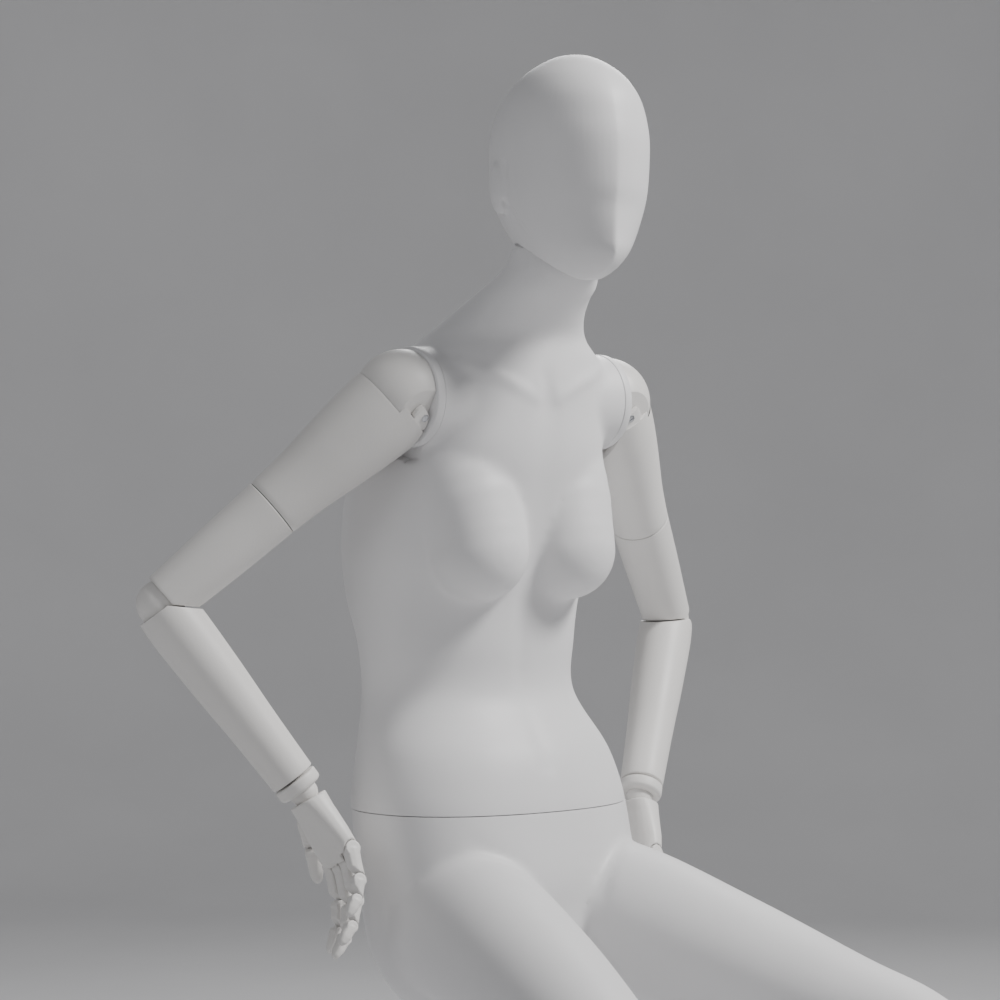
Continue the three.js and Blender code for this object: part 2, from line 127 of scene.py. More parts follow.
def own_place(tree, stretch=(1, 1, 1)):
    """The object's own coordinates, stretched."""
    coordinates = tree.nodes.new("ShaderNodeTexCoord")
    mapping = tree.nodes.new("ShaderNodeMapping")
    mapping.inputs["Scale"].default_value = stretch
    tree.links.new(coordinates.outputs["Object"], mapping.inputs["Vector"])
    return mapping.outputs["Vector"]


# %% The two white paints
def satin_paint(name, light, shade, gloss, grain_stretch, grain_depth):
    material, tree, shader = new_finish(name)
    place = own_place(tree)
    clouds = noise_on(tree, place, 5.0, 4.0)
    tree.links.new(ramp_on(tree, clouds, [(0.35, shade), (0.65, light)]), shader.inputs["Base Color"])
    polish = noise_on(tree, place, 14.0, 6.0, 0.6)
    tree.links.new(range_on(tree, polish, *gloss), shader.inputs["Roughness"])
    peel = bump_on(tree, noise_on(tree, place, 700.0, 2.0), 0.00025, 0.16)
    grain = noise_on(tree, own_place(tree, grain_stretch), 60.0, 5.0, 0.65)
    tree.links.new(bump_on(tree, grain, grain_depth, 0.25, peel), shader.inputs["Normal"])
    shader.inputs["Specular IOR Level"].default_value = 0.42
    shader.inputs["Coat Weight"].default_value = 0.05
    shader.inputs["Coat Roughness"].default_value = 0.35
    return material


shell_paint = satin_paint("satin_shell_paint", (0.80, 0.795, 0.80, 1), (0.755, 0.75, 0.758, 1),
                          (0.44, 0.56), (1, 1, 1), 0.0002)
arm_paint = satin_paint("satin_arm_paint", (0.79, 0.775, 0.755, 1), (0.735, 0.72, 0.70, 1),
                        (0.40, 0.54), (6, 6, 1), 0.0004)


# %% Raw wood and brushed steel
def bare_wood(name):
    material, tree, shader = new_finish(name)
    rings = tree.nodes.new("ShaderNodeTexWave")
    rings.inputs["Scale"].default_value = 60.0
    rings.inputs["Distortion"].default_value = 5.0
    rings.inputs["Detail"].default_value = 3.0
    tree.links.new(own_place(tree, (1, 1, 0.25)), rings.inputs["Vector"])
    browns = [(0.0, (0.17, 0.09, 0.05, 1)), (0.55, (0.33, 0.19, 0.11, 1)), (1.0, (0.45, 0.28, 0.17, 1))]
    tree.links.new(ramp_on(tree, rings.outputs["Fac"], browns), shader.inputs["Base Color"])
    pores = noise_on(tree, own_place(tree, (9, 9, 1)), 180.0, 4.0)
    tree.links.new(range_on(tree, pores, 0.6, 0.85), shader.inputs["Roughness"])
    tree.links.new(bump_on(tree, pores, 0.0004, 0.5), shader.inputs["Normal"])
    return material


def brushed_metal(name, light, shade, gloss):
    material, tree, shader = new_finish(name)
    brushing = noise_on(tree, own_place(tree, (1, 1, 30)), 260.0, 3.0)
    tree.links.new(ramp_on(tree, brushing, [(0.3, shade), (0.7, light)]), shader.inputs["Base Color"])
    tree.links.new(range_on(tree, brushing, *gloss), shader.inputs["Roughness"])
    tree.links.new(bump_on(tree, brushing, 0.0001, 0.3), shader.inputs["Normal"])
    shader.inputs["Metallic"].default_value = 1.0
    return material


joint_wood = bare_wood("bare_joint_wood")
pin_steel = brushed_metal("brushed_pin_steel", (0.60, 0.61, 0.63, 1), (0.45, 0.46, 0.48, 1), (0.28, 0.42))
print("finishes:", [m.name for m in (shell_paint, arm_paint, joint_wood, pin_steel)])

# %% [markdown]
# ## Tools for smooth bodies
# A body shell is sculpted in clay before it is moulded, so it has no edges, only forms that flow
# into each other. Here each form is a stack of ovals bridged into a skin. Overlapping forms are
# fused by a voxel remesh, which is the quickest way to one clean closed surface, and smoothed,
# which blends the joins as a sculptor's thumb does. A limb's path, its ovals and the fused skin
# are all that the helpers below make.

# %% Rows of sizes, flowing smoothly
def flowing(rows, steps):
    """Catmull-Rom rows through the given rows of numbers."""
    out = []
    last = len(rows) - 1
    for i in range(last):
        p0, p1, p2, p3 = (rows[min(max(k, 0), last)] for k in (i - 1, i, i + 1, i + 2))
        for k in range(steps):
            t = k / steps
            out.append([0.5 * (2 * b + (c - a) * t + (2 * a - 5 * b + 4 * c - d) * t * t
                               + (3 * b - a - 3 * c + d) * t ** 3)
                        for a, b, c, d in zip(p0, p1, p2, p3)])
    return out + [list(rows[last])]


# %% One oval, and a skin over many
def oval(bm, place, half_x, half_y, square=2.0, sides=64, ridge=0.0):
    """A rounded ring of edges. A ridge draws the middle of its front out to a soft point."""
    ring = bmesh.ops.create_circle(bm, segments=sides, radius=1.0)["verts"]
    for v in ring:
        x, y = (math.copysign(abs(c) ** (2 / square), c) for c in v.co.xy)
        if y < 0:
            y *= 1 + ridge * (1 - abs(x)) ** 1.5
        v.co = place @ Vector((x * half_x, y * half_y, 0))
    return list({e for v in ring for e in v.link_edges})


def skin_over(bm, rings):
    for low, high in zip(rings, rings[1:]):
        bmesh.ops.bridge_loops(bm, edges=low + high)
    for end in (rings[0], rings[-1]):
        bmesh.ops.edgeloop_fill(bm, edges=end)
    bmesh.ops.recalc_face_normals(bm, faces=bm.faces)


def level(z, y=0.0, x=0.0):
    return Matrix.Translation((x * MM, y * MM, z * MM))


def facing(at, along, side):
    """A place with its Z along a direction and its X near another."""
    z = along.normalized()
    y = z.cross(side).normalized()
    return Matrix.Translation(at) @ Matrix((y.cross(z), y, z)).transposed().to_4x4()


# %% From bmesh to a finished piece
def mesh_object(bm, name):
    mesh = bpy.data.meshes.new(name)
    bm.to_mesh(mesh)
    bm.free()
    obj = bpy.data.objects.new(name, mesh)
    bpy.context.scene.collection.objects.link(obj)
    return obj


def settled(obj):
    """The object's mesh with its modifiers applied, as a bmesh; the object goes."""
    depsgraph = bpy.context.evaluated_depsgraph_get()
    bm = bmesh.new()
    bm.from_object(obj, depsgraph)
    mesh = obj.data
    bpy.data.objects.remove(obj)
    bpy.data.meshes.remove(mesh)
    return bm


def fused(bm, voxel, rounds):
    """Overlapping closed forms become one smooth skin."""
    obj = mesh_object(bm, "clay")
    fuse = obj.modifiers.new("fuse", "REMESH")
    fuse.mode = "VOXEL"
    fuse.voxel_size = voxel * MM
    soften = obj.modifiers.new("soften", "SMOOTH")
    soften.factor = 0.5
    soften.iterations = rounds
    return settled(obj)


def sawn(bm, at, away, bevel=0.0):
    """Everything past a plane is cut off, the cut is closed, and its rim is eased."""
    geom = bm.verts[:] + bm.edges[:] + bm.faces[:]
    cut = bmesh.ops.bisect_plane(bm, geom=geom, plane_co=at, plane_no=away, clear_outer=True)
    rim = [e for e in cut["geom_cut"] if isinstance(e, bmesh.types.BMEdge)]
    if rim:
        bmesh.ops.holes_fill(bm, edges=rim, sides=0)
        if bevel:
            bmesh.ops.bevel(bm, geom=rim, offset=bevel * MM, offset_type="OFFSET", segments=3,
                            profile=0.5, affect="EDGES", material=-1, clamp_overlap=True)


def finished(bm, name, material, body, stands_for, sharp=math.radians(50)):
    """The bmesh becomes a named piece that rides on its body in place of its CAD nodes."""
    bmesh.ops.recalc_face_normals(bm, faces=bm.faces)
    for face in bm.faces:
        face.smooth = True
    for edge in bm.edges:
        edge.smooth = len(edge.link_faces) != 2 or edge.calc_face_angle(0.0) < sharp
    obj = mesh_object(bm, name)
    obj.data.materials.append(material)
    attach(obj, body)
    if stands_for:
        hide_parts(*stands_for)
    triangles = sum(len(p.vertices) - 2 for p in obj.data.polygons)
    print(f"{name}: {triangles} triangles on {body}")
    return obj


# %% Pressing a soft line into clay
def pressed(bm, path, width, depth):
    """Moves the skin inwards along a path of points in millimetres; a negative depth raises it."""
    points = [Vector(p) * MM for p in path]
    reach = 3 * width * MM
    moves = []
    for v in bm.verts:
        near = min((v.co - a - (b - a) * min(max((v.co - a).dot(b - a)
                                                 / (b - a).length_squared, 0), 1)).length
                   for a, b in zip(points, points[1:]))
        if near < reach:
            moves.append((v, v.normal * (-depth * MM * math.exp(-(near / (width * MM)) ** 2))))
    for v, move in moves:
        v.co += move


def both_sides(path):
    return [path, [(-x, y, z) for x, y, z in path]]


def blob(bm, center, radii, turn=0.0):
    """A clay ball pressed to three radii, in millimetres."""
    place = Matrix.Translation(Vector(center) * MM) @ Matrix.Rotation(turn, 4, "X")
    bmesh.ops.create_uvsphere(bm, u_segments=48, v_segments=24, radius=1.0,
                              matrix=place @ Matrix.Diagonal((*(r * MM for r in radii), 1)))

# %% [markdown]
# ## The torso
# The upper shell runs from the waist seam to the top of the neck. It leans forward, so the ovals
# drift back and forth in depth as they rise. The breasts and the round shoulder ends are separate
# forms, fused on. The ends where other parts turn are then sawn flat, as the real mould is cut.

# %% Torso ovals: height, depth of the centre, half width, half depth, squareness
seam = joints["waist_turn"]["pos_m"][2] / MM
neck_y, neck_top = (c / MM for c in joints["head_turn"]["pos_m"][1:])
TORSO = [
    (seam - 8, 15, 151, 105, 2.25), (seam + 18, 19, 148, 103, 2.25), (253, 27, 138, 96, 2.2),
    (307, 50, 117, 84, 2.15), (358, 53, 119, 88, 2.15), (402, 58, 125, 98, 2.2),
    (454, 53, 132, 107, 2.2), (520, 40, 130, 110, 2.3), (550, 24, 122, 98, 2.4),
    (580, 12, 117, 86, 2.4), (615, 2, 117, 76, 2.3), (642, -2, 110, 70, 2.2), (661, -8, 90, 66, 2),
    (684, -28, 68, 64, 2), (708, -58, 54, 58, 2), (726, -78, 46, 49, 2),
    (neck_top, neck_y, 43, 43, 2), (neck_top + 8, neck_y, 43, 43, 2),
]
BREAST = [  # centre x, y, z and radius, from the fold up to where the slope meets the chest
    (57, -35, 450, 50), (57.5, -31, 464, 51), (58, -25, 480, 53), (58.5, -18, 496, 56), (59, -10, 512, 58),
    (60, 0, 530, 60),
]
plate_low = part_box("left_shoulder_plate")[0]
shoulder = Vector(joints["left_shoulder_swing"]["pos_m"])

clay = bmesh.new()
skin_over(clay, [oval(clay, level(z, y), a * MM, b * MM, n) for z, y, a, b, n in flowing(TORSO, 5)])
for side in (-1, 1):
    for x, y, z, r in BREAST:
        blob(clay, (side * x, y, z), (r, r, r))
    boss = Matrix.Translation((side * 0.092, shoulder.y, shoulder.z)) @ Matrix.Rotation(math.pi / 2, 4, "Y")
    bmesh.ops.create_cone(clay, cap_ends=True, segments=64, radius1=0.0487, radius2=0.0487,
                          depth=0.07, matrix=boss)
torso = fused(clay, 3.2, 20)
print("torso clay:", len(torso.verts), "points")

# %% Soft modelling on the chest, then the flat cuts
for path, width, depth in (
    ([(0, -70, 612), (0, -66, 596)], 15, 3.0),  # hollow of the throat
    ([(0, -66, 575), (0, -66, 470), (0, -50, 400)], 16, 1.2),  # breastbone
    ([(0, -45, 395), (0, -38, 330), (0, -72, 240)], 10, 1.4),  # middle of the belly
):
    pressed(torso, path, width, depth)
for path in both_sides([(14, -68, 600), (50, -70, 617), (92, -46, 632)]):
    pressed(torso, path, 7, -2.2)  # collar bones
for path in both_sides([(9, -76, 612), (26, -108, 665), (42, -96, 722)]):
    pressed(torso, path, 7, -1.6)  # neck cords
for path in both_sides([(22, -66, 412), (52, -78, 401), (90, -58, 408), (108, -30, 428)]):
    pressed(torso, path, 3.5, 3.4)  # fold under the breast
sawn(torso, (0, 0, (seam + 0.45) * MM), (0, 0, -1), 0.5)
sawn(torso, (0, 0, (neck_top - 0.2) * MM), (0, 0, 1), 0.5)
flat_x = plate_low.x - 0.0003
for v in torso.verts:  # the round shoulder ends are pressed flat against the plates
    over = Vector((0, v.co.y - shoulder.y, v.co.z - shoulder.z)).length < 0.062
    if over and abs(v.co.x) > flat_x - 0.0004:
        v.co.x = math.copysign(flat_x, v.co.x)
finished(torso, "torso_skin", shell_paint, "torso", ["torso_shell"])

# %% [markdown]
# ## The lower body
# Hips, thighs, shins and raised-heel feet are one moulding. The hips are level ovals. A leg is a
# row of ovals square to a path through the hip, knee and ankle, and the foot carries on from it.
# The groin crease comes by itself where the thigh skin leaves the hip skin, and fusing softens it.

# %% Hip ovals and leg path, in millimetres
HIPS = [
    (0, 2, 97, 71, 2.3), (12, 2, 110, 80, 2.3), (30, 2, 124, 89, 2.3), (62, 0, 141, 98, 2.3),
    (100, 1, 148, 102, 2.3), (140, 5, 150, 107, 2.3), (seam + 8, 17, 150, 104, 2.25),
]
LEG = [  # centre x, y, z, half width, half depth
    (74, 10, 86, 66, 70), (90, -70, 85, 70, 76), (122, -200, 50, 66, 68), (156, -320, 14, 57, 57),
    (176, -392, -6, 50, 51), (185, -434, -40, 47, 50), (187, -446, -96, 45, 50),
    (187, -438, -180, 43, 53), (187, -438, -270, 35, 42), (187, -444, -340, 26, 31),
    (187, -447, -392, 25, 30),
]
FOOT = [  # y, z, half width, half depth, lean of the oval
    (-447, -384, 25, 30, math.pi), (-451, -412, 28, 38, 2.8), (-476, -442, 31, 34, 2.3),
    (-520, -467, 36, 22, 2.0), (-562, -481, 37, 15, 1.75), (-590, -487, 29, 11, math.pi / 2),
    (-604, -489, 16, 8, math.pi / 2),
]

clay = bmesh.new()
skin_over(clay, [oval(clay, level(z, y), a * MM, b * MM, n) for z, y, a, b, n in flowing(HIPS, 4)])
rows = flowing(LEG, 5)
for side in (-1, 1):
    path = [Vector((side * x, y, z)) * MM for x, y, z, a, b in rows]
    rings = []
    for i, (x, y, z, a, b) in enumerate(rows):
        onward = path[min(i + 1, len(path) - 1)] - path[max(i - 1, 0)]
        rings.append(oval(clay, facing(path[i], onward, Vector((1, 0, 0))), a * MM, b * MM, sides=48))
    skin_over(clay, rings)
    rings = []
    for y, z, a, b, lean in flowing(FOOT, 4):
        place = level(z, y, side * LEG[-1][0]) @ Matrix.Rotation(lean, 4, "X")
        rings.append(oval(clay, place, a * MM, b * MM, 2.2, 40))
    skin_over(clay, rings)
    blob(clay, (side * 184, -452, -22), (31, 24, 33))  # kneecap
    blob(clay, (side * 187, -408, -170), (37, 30, 84))  # calf
    blob(clay, (side * 187, -424, -428), (20, 20, 30))  # heel
lower = fused(clay, 4.2, 9)
print("lower body clay:", len(lower.verts), "points")

# %% Creases, the sole and the flat seat
for path in both_sides([(14, -126, 92), (52, -104, 142), (104, -84, 176)]):
    pressed(lower, path, 9, 2.2)  # groin crease
for path in both_sides([(174, -452, -52), (184, -464, -58), (195, -452, -52)]):
    pressed(lower, path, 6, 1.6)  # hollow under the kneecap
sawn(lower, (0, 0, (seam - 0.45) * MM), (0, 0, 1), 0.5)
floor_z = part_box("lower_body_shell")[0].z
for v in lower.verts:
    v.co.z = max(v.co.z, floor_z)
    if abs(v.co.x) < 0.11 and abs(v.co.y) < 0.085 and v.co.z < 0.0015:
        v.co.z = 0.0
finished(lower, "lower_body_skin", shell_paint, "lower_body", ["lower_body_shell"])

# %% [markdown]
# ## The head
# The head is an egg with no features but a soft ridge down the face, a pointed chin, small plain
# ears and a band along the jaw. The ridge is in the ovals themselves: their front is drawn out to
# a point that grows towards the chin. It looks a little to its own right.

# %% Head ovals: height, forward shift, half width, half depth, ridge
HEAD = [
    (711, 46, 7, 11, 0.14), (716, 38, 18, 28, 0.22), (725, 27, 32, 47, 0.25), (737, 17, 45, 62, 0.23),
    (752, 9, 56, 71, 0.19), (777, 3, 67, 81, 0.12), (800, 0, 72, 89, 0.09), (838, 0, 73.5, 92, 0.055),
    (862, 1, 71, 89, 0.035), (886, 3, 63, 81, 0.02), (906, 5, 50, 64, 0.01), (920, 6, 33, 43, 0),
    (928, 7, 17, 22, 0), (930, 7, 6, 8, 0),
]
head_low, head_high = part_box("head_shell")
gaze = Matrix.Translation((0, -0.104, 0)) @ Matrix.Rotation(math.radians(-13), 4, "Z")
clay = bmesh.new()
skin_over(clay, [oval(clay, level(z, -ahead), a * MM, b * MM, 2.0, 72, ridge)
                 for z, ahead, a, b, ridge in flowing(HEAD, 5)])
for side in (-1, 1):
    blob(clay, (side * 71, 9, 801), (8, 15, 27), -0.15)
head = fused(clay, 2.0, 3)
for path in both_sides([(72, -4, 786), (64, -14, 764), (56, -28, 744), (44, -48, 728),
                        (24, -74, 718), (0, -84, 715)]):
    pressed(head, path, 3, 2.6)  # above the jaw band
for path in both_sides([(73, -6, 822), (74, -8, 800), (72, -4, 782)]):
    pressed(head, path, 3.5, 1.2)  # front of the ear
for path in both_sides([(70, 12, 812), (72, 11, 800), (70, 9, 788)]):
    pressed(head, path, 5, 2.2)  # hollow of the ear
for v in head.verts:
    v.co = gaze @ v.co
neck_y_m, collar = neck_y * MM, 0.0475
hole = [v for v in head.verts
        if math.hypot(v.co.x, v.co.y - neck_y_m) < collar and v.co.z < (neck_top + 4) * MM]
for v in hole:  # the neck goes up into a recess
    v.co.z = (neck_top + 5) * MM
finished(head, "head_skin", shell_paint, "head", ["head_shell"])
print("head height:", round((head_high - head_low).z / MM), "mm")

# %% [markdown]
# ## The wooden arms
# Each arm is turned wood with a satin paint: a flat plate on the torso, a dome that swings on it,
# a sleeve that hugs the dome and carries the pin, a lower sleeve that turns below a thin seam, a
# ball elbow in two cups, and a tapered forearm. All of it hangs on the joints, so the code asks
# the joints for the shoulder, elbow and wrist and builds between them. Cups and slots are cut
# with boolean modifiers, and edges are eased, since no painted wooden edge is sharp.

# %% Turned wood, cutters and cuts
def turned(bm, start, along, profile, sides=96):
    """A round bar over [distance, radius] rows in millimetres, from a start point."""
    side = Vector((0, 1, 0)) if abs(along.normalized().y) < 0.9 else Vector((1, 0, 0))
    rings = [oval(bm, facing(start + along * d * MM, along, side), r * MM, r * MM, sides=sides)
             for d, r in profile]
    skin_over(bm, rings)


def carved(bm, cutters, action="DIFFERENCE"):
    """Cuts, or joins, each closed cutter mesh."""
    obj = mesh_object(bm, "blank")
    helpers = []
    for cutter in cutters:
        bmesh.ops.recalc_face_normals(cutter, faces=cutter.faces)
        helper = mesh_object(cutter, "cutter")
        step = obj.modifiers.new("cut", "BOOLEAN")
        step.operation = action
        step.solver = "EXACT"
        step.object = helper
        helpers.append(helper)
    bpy.context.view_layer.update()
    out = settled(obj)
    for helper in helpers:
        mesh = helper.data
        bpy.data.objects.remove(helper)
        bpy.data.meshes.remove(mesh)
    return out


def ball(center, radius, sides=64):
    bm = bmesh.new()
    bmesh.ops.create_uvsphere(bm, u_segments=sides, v_segments=sides // 2, radius=radius * MM,
                              matrix=Matrix.Translation(center))
    return bm


def bar(start, end, radius, sides=32):
    bm = bmesh.new()
    turned(bm, start, (end - start).normalized(), [(0, radius), ((end - start).length / MM, radius)], sides)
    return bm


def block(place, x, y, z):
    bm = bmesh.new()
    bmesh.ops.create_cube(bm, size=MM, matrix=place @ Matrix.Diagonal((x, y, z, 1)))
    return bm


def eased(bm, width, angle=35):
    """Rounds every edge that turns by more than an angle."""
    bmesh.ops.remove_doubles(bm, verts=bm.verts, dist=0.00002)
    edges = [e for e in bm.edges if len(e.link_faces) == 2 and e.calc_face_angle(0.0) > math.radians(angle)]
    bmesh.ops.bevel(bm, geom=edges, offset=width * MM, offset_type="OFFSET", segments=2, profile=0.5,
                    affect="EDGES", material=-1, clamp_overlap=True)


# %% One arm's bones, read from its joints
def arm_bones(side):
    kinds = ("shoulder_swing", "shoulder_raise", "elbow_bend", "wrist_bend")
    joint = {k: joints[f"{side}_{k}"] for k in kinds}
    s, e, w = (Vector(joint[k]["pos_m"]) for k in ("shoulder_swing", "elbow_bend", "wrist_bend"))
    upper, fore = (e - s).normalized(), (w - e).normalized()
    return {
        "shoulder": s, "elbow": e, "wrist": w, "upper": upper, "fore": fore,
        "pin": Vector(joint["shoulder_raise"]["axis"]).normalized(),
        "hinge": Vector(joint["elbow_bend"]["axis"]).normalized(),
        "mitre": (upper + fore).normalized(), "out": Vector((math.copysign(1, s.x), 0, 0)),
    }


PLATE_R, DOME_R, SLEEVE_R, SEAM_AT, SEAM_R, END_R = 49, 46, 44, 165, 31, 26
ELBOW_R, ELBOW_SLOT, EYE = 23.5, 9.7, 11
FORE_R, WRIST_R, COLLAR, WRIST_BALL = 29, 22.5, 15, 14
GAP = 0.35
RING_GAP = 2.2  # between a shoulder plate and the sleeve beside it


# %% [markdown]
# ### Shoulder
# The plate and the dome are each one turned form with an eased rim. The sleeve is a bar, sawn
# square to the arm just past the dome's middle. Two cheeks reach back to hold the pin, and the rim
# is sawn again along the plate at each angle the arm can be raised to, so nothing rubs.

# %% Plate, dome and sleeve
def shoulder_pieces(side, b):
    plate = bmesh.new()
    low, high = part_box(f"{side}_shoulder_plate")
    inner, outer = sorted((abs(low.x), abs(high.x)))
    face = Vector((b["out"].x * inner, b["shoulder"].y, b["shoulder"].z))
    thick = (outer - inner) / MM
    turned(plate, face, b["out"], [
        (0, PLATE_R - 0.8), (0.5, PLATE_R - 0.15), (1.4, PLATE_R), (thick - 1.6, PLATE_R - 0.3),
        (thick - 0.5, PLATE_R - 0.7), (thick, PLATE_R - 1.6)])
    finished(plate, f"{side}_shoulder_disc", shell_paint, "torso",
             [f"{side}_shoulder_plate"])

    dome = ball(b["shoulder"], DOME_R, 96)
    sawn(dome, face + b["out"] * (thick + GAP) * MM, -b["out"], 0.8)
    for end in (-1, 1):
        sawn(dome, b["shoulder"] + b["pin"] * end * 37 * MM, b["pin"] * end, 0.6)
    finished(dome, f"{side}_shoulder_ball", arm_paint, f"{side}_shoulder",
             [f"{side}_shoulder_dome"])

    sleeve = bmesh.new()
    turned(sleeve, b["shoulder"], b["upper"], [(9, SLEEVE_R)] + [
        (d, r) for d, r in flowing([(10, SLEEVE_R), (40, 42.9), (80, 39), (125, 33.6),
                                    (SEAM_AT - 1.2, SEAM_R)], 5)
    ] + [(SEAM_AT - 0.4, SEAM_R - 0.5)])
    cheek = bar(b["shoulder"] - b["pin"] * 43 * MM, b["shoulder"] + b["pin"] * 43 * MM, 13, 48)
    tube = bmesh.new()
    turned(tube, b["shoulder"], b["upper"], [(-20, SLEEVE_R - 0.05), (14, SLEEVE_R - 0.05)])
    cheek = carved(cheek, [tube], "INTERSECT")
    sleeve = carved(sleeve, [cheek], "UNION")
    slab = block(facing(b["shoulder"], b["upper"], b["pin"]), 2 * (37 + GAP), 200, 200)
    sleeve = carved(sleeve, [carved(ball(b["shoulder"], DOME_R + 0.9, 96), [slab], "INTERSECT")])
    clear = abs(b["shoulder"].x) - outer - RING_GAP * MM
    for lift in (0, 15, 30, 45):
        turn = Matrix.Rotation(math.radians(lift), 3, b["pin"])
        away = turn @ -b["out"]
        sawn(sleeve, b["shoulder"] + away * clear, away)
    eased(sleeve, 0.7)
    finished(sleeve, f"{side}_upper_sleeve", arm_paint, f"{side}_upper_arm",
             [f"{side}_upper_arm_top"])

    for end in (-1, 1):
        head_at = b["shoulder"] + b["pin"] * end * 43.2 * MM
        screw = bmesh.new()
        turned(screw, head_at - b["pin"] * end * 2 * MM, b["pin"] * end,
               [(0, 3.9), (2.2, 3.9), (2.7, 3.3), (2.9, 1.5)], 40)
        slot = block(facing(head_at + b["pin"] * end * 1.2 * MM, b["pin"], b["upper"]), 1.1, 12, 2.4)
        name = f"{side}_shoulder_screw_{'front' if (b['pin'] * end).y < 0 else 'back'}"
        finished(carved(screw, [slot]), name, pin_steel, f"{side}_upper_arm",
                 [f"{side}_shoulder_pin"] if end == 1 else [])


# %% [markdown]
# ### Elbow and forearm
# At the elbow the two limbs are sawn along the plane half way between them, so they meet face to
# face when the arm is bent. Inside, a bare wooden tongue from the upper arm sits in a slotted ball.

# %% Lower sleeve, ball and forearm
def elbow_pieces(side, b):
    length = (b["elbow"] - b["shoulder"]).length / MM
    sleeve = bmesh.new()
    lip = [(SEAM_AT + 0.4, SEAM_R - 0.5), (SEAM_AT + 1.2, SEAM_R - 0.1)]
    turned(sleeve, b["shoulder"], b["upper"], lip + flowing(
        [(SEAM_AT + 2, SEAM_R - 0.1), (SEAM_AT + 60, 29.2), (length - 30, 26.9), (length - 8, END_R)], 4))
    mortise = block(facing(b["elbow"] - b["upper"] * 30 * MM, b["upper"], b["hinge"]), 9.7, 21, 44)
    sleeve = carved(sleeve, [ball(b["elbow"], ELBOW_R + 1.1), mortise])
    sawn(sleeve, b["elbow"] - b["mitre"] * 0.8 * MM, b["mitre"])
    eased(sleeve, 0.6)
    finished(sleeve, f"{side}_lower_sleeve", arm_paint, f"{side}_lower_upper_arm",
             [f"{side}_upper_arm_bottom"])

    slot_at = b["elbow"] + b["fore"] * (EYE + 0.6 - 30) * MM
    slot = block(facing(slot_at, b["fore"], b["hinge"]), ELBOW_SLOT, 60, 60)
    knob = carved(ball(b["elbow"], ELBOW_R, 72), [slot])
    eased(knob, 0.5)
    finished(knob, f"{side}_elbow_knob", arm_paint, f"{side}_forearm_body",
             [f"{side}_elbow_ball"])

    reach = (b["wrist"] - b["elbow"]).length / MM - COLLAR - 2
    limb = bmesh.new()
    turned(limb, b["elbow"], b["fore"], flowing([
        (5, FORE_R - 1.4), (14, FORE_R - 0.4), (36, FORE_R), (90, 27.4),
        (0.7 * reach, 24.6), (reach - 1, WRIST_R)], 5) + [(reach - 0.2, WRIST_R - 0.6)])
    limb = carved(limb, [ball(b["elbow"], ELBOW_R + GAP)])
    sawn(limb, b["elbow"] + b["mitre"] * 0.8 * MM, -b["mitre"])
    eased(limb, 0.6)
    finished(limb, f"{side}_forearm_limb", arm_paint, f"{side}_forearm_body",
             [f"{side}_forearm"])

    collar = bmesh.new()
    turned(collar, b["wrist"], b["fore"], [
        (-COLLAR + 0.2, WRIST_R - 0.9), (-COLLAR + 0.9, WRIST_R - 0.1), (-12, WRIST_R),
        (-6, WRIST_R), (-4, WRIST_R - 0.8), (-2.6, WRIST_R - 2.6), (-2, WRIST_R - 5)])
    collar = carved(collar, [ball(b["wrist"], WRIST_BALL, 48)], "UNION")
    finished(collar, f"{side}_wrist_knob", arm_paint, f"{side}_wrist",
             [f"{side}_wrist_ball"])


for side in ("right", "left"):
    bones = arm_bones(side)
    shoulder_pieces(side, bones)
    elbow_pieces(side, bones)

# %% [markdown]
# ## The hands
# The palm and the finger bones are small blocks of carved wood with rounded edges. The CAD solids
# already have their barrels, hollows and palm-side notches in the right place, so a hand carver's
# last step is all that is left: ease every edge. A fine voxel remesh of a copy, with a few rounds
# of smoothing, does exactly that.

# %% Ease each bone of both hands
def eased_copy(node, voxel, rounds):
    bm = bmesh.new()
    bm.from_mesh(frame["nodes"][node].data)
    bmesh.ops.remove_doubles(bm, verts=bm.verts, dist=1e-6)
    return fused(bm, voxel, rounds)


owner = {node: body for body, nodes in frame["record"]["behaviour"]["bodies"].items() for node in nodes}
for node, body in sorted(owner.items()):
    finger = node.split("_")[1] in ("index", "middle", "ring", "little", "thumb")
    if finger or node.endswith("_palm"):
        carvings = eased_copy(node, 0.9 if finger else 1.3, 5 if finger else 9)
        finished(carvings, node.replace("_palm", "_hand_block") if not finger else f"{node}_bone",
                 arm_paint, body, [node], sharp=math.pi)

# %% [markdown]
# ## Small fittings that stay as the CAD made them
# Pins, plates, dowels and tongues are simple shapes in the real thing, and mostly hidden. They
# keep their CAD meshes and get the finish of their material.

# %% Finish the CAD nodes that still show
for node, obj in sorted(frame["nodes"].items()):
    steel = any(word in node for word in ("pin", "stud", "peg"))
    obj.data.materials.clear()
    obj.data.materials.append(pin_steel if steel else joint_wood)
print("fittings finished")

# %% [markdown]
# ## Stage, light and camera
# A pale round floor curves up into a wall, so there is no horizon. One large soft light from the
# front and right does the modelling, a weaker one fills from the left, and one from behind draws the
# far edge of the head and arms.

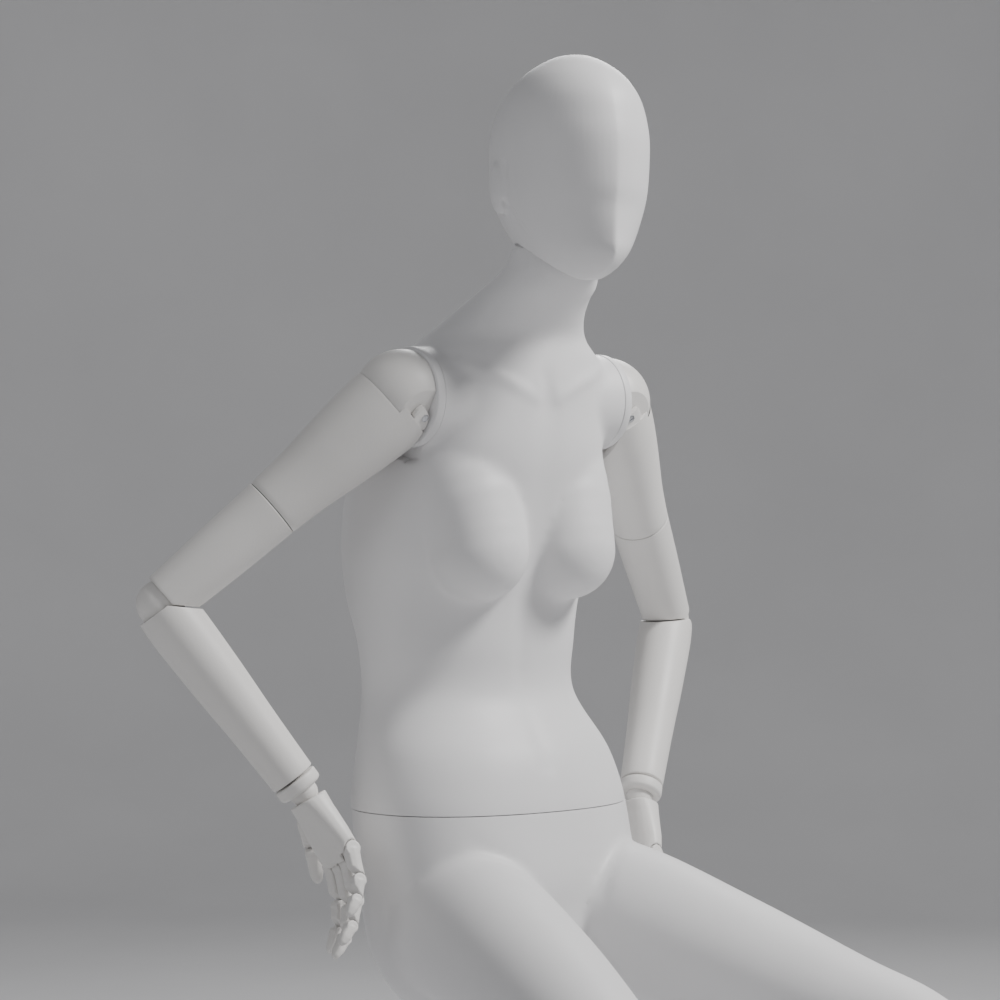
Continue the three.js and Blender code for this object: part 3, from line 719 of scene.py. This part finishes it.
# %% Floor that curves up into a wall
def stage_floor(low):
    bm = bmesh.new()
    bend, wide, tall = 2.0, 6.0, 5.0
    outline = [(0.01, 0), (wide - bend, 0)]
    turns = [k * math.pi / 16 for k in range(1, 9)]
    outline += [(wide - bend + bend * math.sin(a), bend - bend * math.cos(a)) for a in turns]
    outline.append((wide, tall))
    chain = [bm.verts.new((r, 0, low + z)) for r, z in outline]
    edges = [bm.edges.new(pair) for pair in zip(chain, chain[1:])]
    bmesh.ops.spin(bm, geom=chain + edges, cent=(0, 0, 0), axis=(0, 0, 1),
                   angle=2 * math.pi, steps=72, use_merge=True)
    middle = [e for e in bm.edges if e.is_boundary and e.verts[0].co.xy.length < 0.1]
    bmesh.ops.holes_fill(bm, edges=middle, sides=0)
    bmesh.ops.recalc_face_normals(bm, faces=bm.faces)
    bmesh.ops.reverse_faces(bm, faces=bm.faces)
    for face in bm.faces:
        face.smooth = True
    return mesh_object(bm, "floor")


floor_paint, tree, shader = new_finish("pale_floor")
shader.inputs["Roughness"].default_value = 0.8
grey = noise_on(tree, own_place(tree), 1.5, 4.0)
tree.links.new(ramp_on(tree, grey, [(0.3, (0.62, 0.62, 0.63, 1)), (0.7, (0.66, 0.66, 0.67, 1))]),
               shader.inputs["Base Color"])
floor = stage_floor(cad_box[0][2] - 0.001)
floor.data.materials.append(floor_paint)


# %% Lights
def soft_light(name, place, target, size, power, tint):
    light = bpy.data.lights.new(name, "AREA")
    light.shape, light.size, light.energy, light.color = "DISK", size, power, tint
    obj = bpy.data.objects.new(name, light)
    obj.location = place
    obj.rotation_euler = (Vector(target) - Vector(place)).to_track_quat("-Z", "Y").to_euler()
    obj.visible_camera = False
    bpy.context.scene.collection.objects.link(obj)


soft_light("key_light", (1.5, -2.0, 3.0), (0, 0, 0.45), 1.0, 165, (1.0, 0.99, 0.98))
soft_light("fill_light", (-3.0, -0.4, 1.6), (0, 0, 0.4), 1.6, 10, (0.97, 0.98, 1.0))
soft_light("rim_light", (1.8, 1.7, 2.0), (0, 0, 0.6), 1.2, 34, (1.0, 1.0, 1.0))
world = bpy.data.worlds.new("studio_air")
world.use_nodes = True
world.node_tree.nodes["Background"].inputs["Color"].default_value = (0.9, 0.91, 0.93, 1)
world.node_tree.nodes["Background"].inputs["Strength"].default_value = 0.2
bpy.context.scene.world = world

# %% Camera
camera = bpy.data.objects.new("camera", bpy.data.cameras.new("camera"))
camera.data.lens, camera.data.sensor_width = 100.8, 36
distance, azimuth, eye_height = 2.8, math.radians(40), 0.5
camera.location = (-distance * math.sin(azimuth), -distance * math.cos(azimuth), eye_height)
camera.rotation_euler = (math.pi / 2, 0, -azimuth)
bpy.context.scene.collection.objects.link(camera)
bpy.context.scene.camera = camera
print("camera at", [round(c, 3) for c in camera.location])
